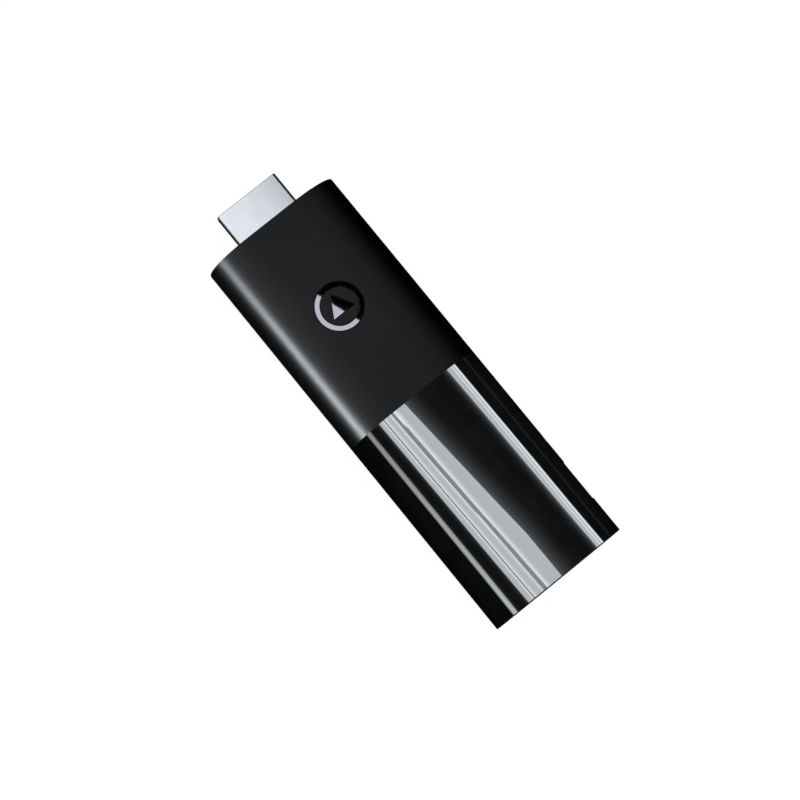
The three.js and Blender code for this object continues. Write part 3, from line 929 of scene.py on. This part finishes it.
nodes = frame["nodes"]
pieces = [upper_matte, lower_matte, upper_gloss, lower_gloss, plug]
all_parts = group("all_parts", [*pieces, *nodes.values()])

matte, gloss, steel = matte_plastic(), gloss_plastic(), brushed_steel()
for part, material in (
    (upper_matte, matte),
    (lower_matte, matte),
    (upper_gloss, gloss),
    (lower_gloss, gloss),
    (plug, steel),
):
    part.data.materials.clear()
    part.data.materials.append(material)

black_resin = plain("black_resin", (0.008, 0.008, 0.008), (0.014, 0.014, 0.014), 0.5, grain=0.002)
gold = plain("gold_plate", (0.78, 0.5, 0.16), (0.86, 0.58, 0.22), 0.25, metallic=1.0)
tin = plain("tin_plate", (0.52, 0.53, 0.54), (0.62, 0.63, 0.64), 0.32, grain=0.001, metallic=1.0)
epoxy = plain("chip_epoxy", (0.011, 0.011, 0.012), (0.018, 0.018, 0.019), 0.55, grain=0.003)
aluminium = plain("aluminium", (0.55, 0.56, 0.57), (0.62, 0.63, 0.64), 0.4, grain=0.001, metallic=1.0)
pad = plain("thermal_pad", (0.20, 0.25, 0.30), (0.27, 0.33, 0.38), 0.85, grain=0.006)
ferrite = plain("ferrite", (0.035, 0.035, 0.037), (0.06, 0.06, 0.062), 0.6, grain=0.005)
clear = plain("clear_resin", (0.80, 0.84, 0.87), (0.88, 0.91, 0.93), 0.12)
screw_steel = plain("screw_steel", (0.30, 0.31, 0.32), (0.38, 0.39, 0.40), 0.3, metallic=1.0)
film = plain("insulating_film", (0.006, 0.006, 0.006), (0.010, 0.010, 0.010), 0.35, grain=0.001)
tantalum = plain("capacitor_case", (0.55, 0.26, 0.03), (0.65, 0.32, 0.05), 0.5, grain=0.003)
laminate = board_laminate()
emblem_black = emblem_gloss()

NODE_MATERIALS = {
    "emblem_": emblem_black,
    "video_plug_insulator": black_resin,
    "video_upper_contact": gold,
    "video_lower_contact": gold,
    "video_protection": epoxy,
    "power_socket_shell": tin,
    "power_socket_insulator": black_resin,
    "power_contact": gold,
    "power_manager": epoxy,
    "main_board": laminate,
    "shield_": tin,
    "processor_thermal_pad": pad,
    "processor": epoxy,
    "flash_memory": epoxy,
    "memory_": epoxy,
    "core_inductor": ferrite,
    "input_inductor": ferrite,
    "input_capacitor": tantalum,
    "main_crystal": tin,
    "radio_": tin,
    "step_down_converter": epoxy,
    "antenna": tin,
    "heat_spreader": aluminium,
    "spreader_thermal_pad": pad,
    "insulating_film": film,
    "status_led": clear,
    "light_pipe": clear,
    "board_screw": screw_steel,
}
for name, node in nodes.items():
    for start, material in NODE_MATERIALS.items():
        if name.startswith(start):
            node.data.materials.clear()
            node.data.materials.append(material)
            break

REPLACED = {"top_shell", "bottom_shell", "video_plug_shell"}
EDGE_BEVEL = 0.04
WELD_DISTANCE = 0.001
for name, node in nodes.items():
    if name in REPLACED:
        continue
    weld = node.modifiers.new("weld", "WELD")
    weld.merge_threshold = WELD_DISTANCE * MM
    bevel = node.modifiers.new("bevel", "BEVEL")
    bevel.width = EDGE_BEVEL * MM
    bevel.segments = 2
    bevel.limit_method = "ANGLE"
    bevel.angle_limit = math.radians(40)
    bevel.harden_normals = True

# ---- Light groups and lights ----
FLAG_EDGE = Vector((-22.9, 0, 24.1))
FLAG_UPWARD = Vector((0.469, 0, 0.883))  # nearly square to the key's beam
FLAG_HEIGHT = 60
FLAG_HALF_LENGTH = 150


def key_flag():
    """A board between the key lamp and the flat top, so that only the left edge catches the key."""
    bm = bmesh.new()
    rises = (0, 0, FLAG_HEIGHT, FLAG_HEIGHT)
    sides = (-1, 1, 1, -1)
    corners = [
        FLAG_EDGE + FLAG_UPWARD * rise + Vector((0, side * FLAG_HALF_LENGTH, 0))
        for rise, side in zip(rises, sides)
    ]
    bm.faces.new([bm.verts.new(corner * MM) for corner in corners])
    flag = link("key_flag", bm)
    flag.visible_camera = False
    flag.visible_glossy = False
    flag.visible_diffuse = False
    return flag


matte_parts = group("matte_parts", [upper_matte, lower_matte])
gloss_parts = group("gloss_parts", [upper_gloss, lower_gloss])
emblem_parts = group("emblem_parts", [nodes["emblem_ring"], nodes["emblem_triangle"]])
plug_parts = group("plug_parts", [plug])

all_but_gloss = group("all_but_gloss", [upper_matte, lower_matte, plug, *nodes.values()])
gloss_and_details = group("gloss_and_details", [upper_gloss, lower_gloss, *nodes.values()])
lower_parts = group("lower_parts", [lower_matte, lower_gloss])
detail_parts = group(
    "detail_parts", [node for name, node in nodes.items() if not name.startswith("emblem_")]
)


key_blockers = group("key_blockers", [*all_parts.objects, key_flag()])


def beside(line, offset, grey):
    """A card column that runs beside a line, given by its x at each row."""
    return (*[x + offset for x in line], grey)


COOL = (0.955, 1.0, 1.045)

# The bands that the glossy half shows. Each line below is the x of one band's edge or middle at
# the inner rows of GLOSS_ROWS, which are y on the case.
GLOSS_ROWS = [100, 44, 30, 20, 10, -1.5, -60]


def lengthened(*line):
    """A line's x at each row, carried on unchanged past both ends of the glossy half."""
    return (line[0], *line, line[-1])


LEFT_START = lengthened(-11.31, -11.29, -11.26, -11.22, -11.24)
LEFT_END = lengthened(-10.36, -10.27, -10.24, -10.19, -10.20)
WIDE_START = lengthened(-8.22, -8.03, -7.89, -7.75, -7.55)
THIN_SLAT = lengthened(-7.11, -6.90, -6.65, -6.44, -6.18)
BROAD_SLAT = lengthened(-5.15, -4.735, -4.40, -3.98, -3.56)
BROAD_HALF = lengthened(0.27, 0.315, 0.33, 0.38, 0.42)
WIDE_END = lengthened(-2.34, -1.44, -0.74, 0.08, 0.19)
MIDDLE = lengthened(4.8, 5.0, 5.2, 5.4, 5.6)
RIGHT_START = lengthened(8.00, 8.24, 8.345, 8.48, 8.69)
RIGHT_END = lengthened(9.87, 9.98, 10.07, 10.12, 10.29)
BROAD_LEFT = [x - half for x, half in zip(BROAD_SLAT, BROAD_HALF)]
BROAD_RIGHT = [x + half for x, half in zip(BROAD_SLAT, BROAD_HALF)]

card(
    "left_card",
    [
        beside(LEFT_START, 0.0, 0.01),
        beside(LEFT_START, 0.14, 0.42),
        beside(LEFT_START, 0.32, 0.62),
        beside(LEFT_START, 0.60, 0.64),
        beside(LEFT_END, -0.20, 0.57),
        beside(LEFT_END, -0.04, 0.50),
        beside(LEFT_END, 0.06, 0.16),
        beside(LEFT_END, 0.30, 0.050),
        beside(LEFT_END, 0.80, 0.024),
    ],
    GLOSS_ROWS,
    gloss_parts,
    tint=COOL,
    gains=lengthened(0.70, 0.87, 0.99, 1.10, 1.38),
)
card(
    "ceiling_card",
    [
        beside(LEFT_END, 0.81, 0.024),
        beside(WIDE_START, -0.90, 0.024),
        beside(WIDE_START, -0.35, 0.095),
        beside(WIDE_START, -0.08, 0.19),
        beside(WIDE_START, 0.02, 0.62),
        beside(WIDE_START, 0.16, 0.71),
        beside(THIN_SLAT, -0.62, 0.70),
        beside(THIN_SLAT, -0.30, 0.80),
        beside(THIN_SLAT, -0.12, 0.90),
        beside(THIN_SLAT, -0.09, 0.30),
        beside(THIN_SLAT, 0.07, 0.30),
        beside(THIN_SLAT, 0.11, 0.86),
        beside(THIN_SLAT, 0.40, 0.80),
        beside(THIN_SLAT, 0.85, 0.71),
        beside(BROAD_LEFT, -0.62, 0.71),
        beside(BROAD_LEFT, -0.28, 0.78),
        beside(BROAD_LEFT, -0.06, 0.90),
        beside(BROAD_LEFT, 0.02, 0.51),
        beside(BROAD_RIGHT, -0.02, 0.51),
        beside(BROAD_RIGHT, 0.06, 0.92),
        beside(BROAD_RIGHT, 0.34, 0.84),
        beside(BROAD_RIGHT, 0.80, 0.73),
        beside(BROAD_RIGHT, 1.20, 0.70),
        beside(WIDE_END, -0.45, 0.71),
        beside(WIDE_END, -0.03, 0.74),
        beside(WIDE_END, 0.05, 0.27),
        beside(WIDE_END, 0.60, 0.25),
        beside(WIDE_END, 1.00, 0.20),
        beside(WIDE_END, 1.70, 0.155),
        beside(WIDE_END, 2.60, 0.095),
        beside(WIDE_END, 3.60, 0.036),
        beside(MIDDLE, 0, 0.014),
        beside(RIGHT_START, -1.60, 0.020),
        beside(RIGHT_START, -0.90, 0.08),
        beside(RIGHT_START, -0.45, 0.175),
        beside(RIGHT_START, -0.15, 0.28),
        beside(RIGHT_START, -0.04, 0.40),
        beside(RIGHT_START, 0.04, 0.66),
        beside(RIGHT_START, 0.20, 0.73),
        beside(RIGHT_START, 0.50, 0.70),
        beside(RIGHT_END, -0.98, 0.69),
        beside(RIGHT_END, -0.88, 0.86),
        beside(RIGHT_END, -0.70, 0.86),
        beside(RIGHT_END, -0.62, 0.66),
        beside(RIGHT_END, -0.46, 0.66),
        beside(RIGHT_END, -0.38, 0.88),
        beside(RIGHT_END, -0.14, 0.86),
        beside(RIGHT_END, -0.02, 0.70),
        beside(RIGHT_END, 0.04, 0.06),
        beside(RIGHT_END, 0.30, 0.01),
    ],
    GLOSS_ROWS,
    gloss_parts,
    tint=COOL,
)
emblem_lamp((-2.3, EMBLEM.y + 5.5), (1.5, EMBLEM.y - 5.5))

# From which x to which x the matte top mirrors each strip, and how bright a grey it is seen as.
MATTE_STRIPS = [
    (-10.4, -8.0, 0.232),
    (-8.0, -6.0, 0.212),
    (-6.0, -4.0, 0.198),
    (-4.0, 0.0, 0.187),
    (0.0, 4.0, 0.177),
    (4.0, 6.4, 0.170),
    (6.4, 8.2, 0.169),
    (8.2, 9.2, 0.163),
    (9.2, 10.2, 0.142),
    (10.2, 11.2, 0.112),
    (11.2, 12.0, 0.075),
]
for number, (left, right, grey) in enumerate(MATTE_STRIPS):
    overhead_strip(f"matte_strip_{number}", left, right, grey)

# Each lamp's place, target, width, length and radiance, then the parts it shines on.
matte_key = softbox("matte_key", (-500, 10, 287), (-12, 10, 12), 150, 260, 23, matte_parts, COOL)
matte_key.light_linking.blocker_collection = key_blockers
softbox("faint_strip", (495, 40, 130), (12, 20, 11), 62, 260, 0.17, gloss_parts)
softbox("plug_top", (-160, 190, 600), (0, 42, 12), 680, 560, 1.24, plug_parts, COOL)
softbox("plug_left", (-400, 42, 120), (-6, 42, 12), 200, 300, 0.15, plug_parts, COOL)
softbox("detail_top", (-150, 60, 600), (0, 0, 8), 600, 600, 1.1, detail_parts)

AROUND = 650  # distance of the panels round the object
PANEL = (400, 240)
for turn in (45, 135, 225, 315):
    angle = math.radians(turn)
    corner = (AROUND * math.cos(angle), AROUND * math.sin(angle), 190)
    softbox(f"corner_panel_{turn}", corner, (0, 0, 8), *PANEL, 1.8, gloss_and_details)
    softbox(f"matte_panel_{turn}", corner, (0, 40, 8), *PANEL, 0.3, matte_parts)
    softbox(f"plug_panel_{turn}", corner, (0, 40, 8), *PANEL, 0.35, plug_parts)
for side in (-1, 1):
    y = side * AROUND
    softbox(f"end_panel_{side}", (0, y, 70), (0, side * 40, 70), 560, 160, 1.6, all_but_gloss)
    softbox(f"end_bounce_{side}", (0, y, -360), (0, side * 40, -360), 1700, 690, 0.5, all_parts)
    softbox(f"side_bounce_{side}", (side * 520, 0, -170), (0, 0, 6), 160, 700, 1.0, lower_parts)
softbox("socket_side", (520, -120, 60), (14, -35, 8), 300, 300, 1.6, detail_parts)
softbox("mouth_front", (0, 500, 60), (0, 45, 8), 300, 200, 4.0, detail_parts)


# ---- Floor and surroundings ----
def add_floor():
    bm = bmesh.new()
    half = 3.0  # metres
    corners = [(-half, -half, 0), (half, -half, 0), (half, half, 0), (-half, half, 0)]
    bm.faces.new([bm.verts.new(c) for c in corners])
    mesh = bpy.data.meshes.new("floor")
    bm.to_mesh(mesh)
    bm.free()
    material = bpy.data.materials.new("floor_white")
    material.use_nodes = True
    shader = material.node_tree.nodes["Principled BSDF"]
    shader.inputs["Base Color"].default_value = (0.9, 0.9, 0.9, 1)
    shader.inputs["Roughness"].default_value = 0.9
    shader.inputs["Emission Color"].default_value = (1, 1, 1, 1)
    shader.inputs["Emission Strength"].default_value = 0.93
    mesh.materials.append(material)
    floor = bpy.data.objects.new("floor", mesh)
    scene.collection.objects.link(floor)
    floor.visible_diffuse = False
    floor.visible_shadow = False
    floor.visible_glossy = False
    return floor


floor = add_floor()
softbox("floor_light", (0, 0, 900), (0, 0, 0), 1600, 1600, 0.22, group("floor_part", [floor]))


def add_world():
    """White to the camera and dark to everything else."""
    world = bpy.data.worlds.new("studio")
    scene.world = world
    world.use_nodes = True
    tree = world.node_tree
    shade = tree.nodes["Background"]
    shade.inputs["Color"].default_value = (1, 1, 1, 1)
    path = tree.nodes.new("ShaderNodeLightPath")
    level = tree.nodes.new("ShaderNodeMapRange")
    level.inputs["To Min"].default_value = 0.0
    level.inputs["To Max"].default_value = 1.05
    tree.links.new(path.outputs["Is Camera Ray"], level.inputs["Value"])
    tree.links.new(level.outputs["Result"], shade.inputs["Strength"])


add_world()
scene.view_settings.view_transform = "Standard"

bpy.context.view_layer.update()
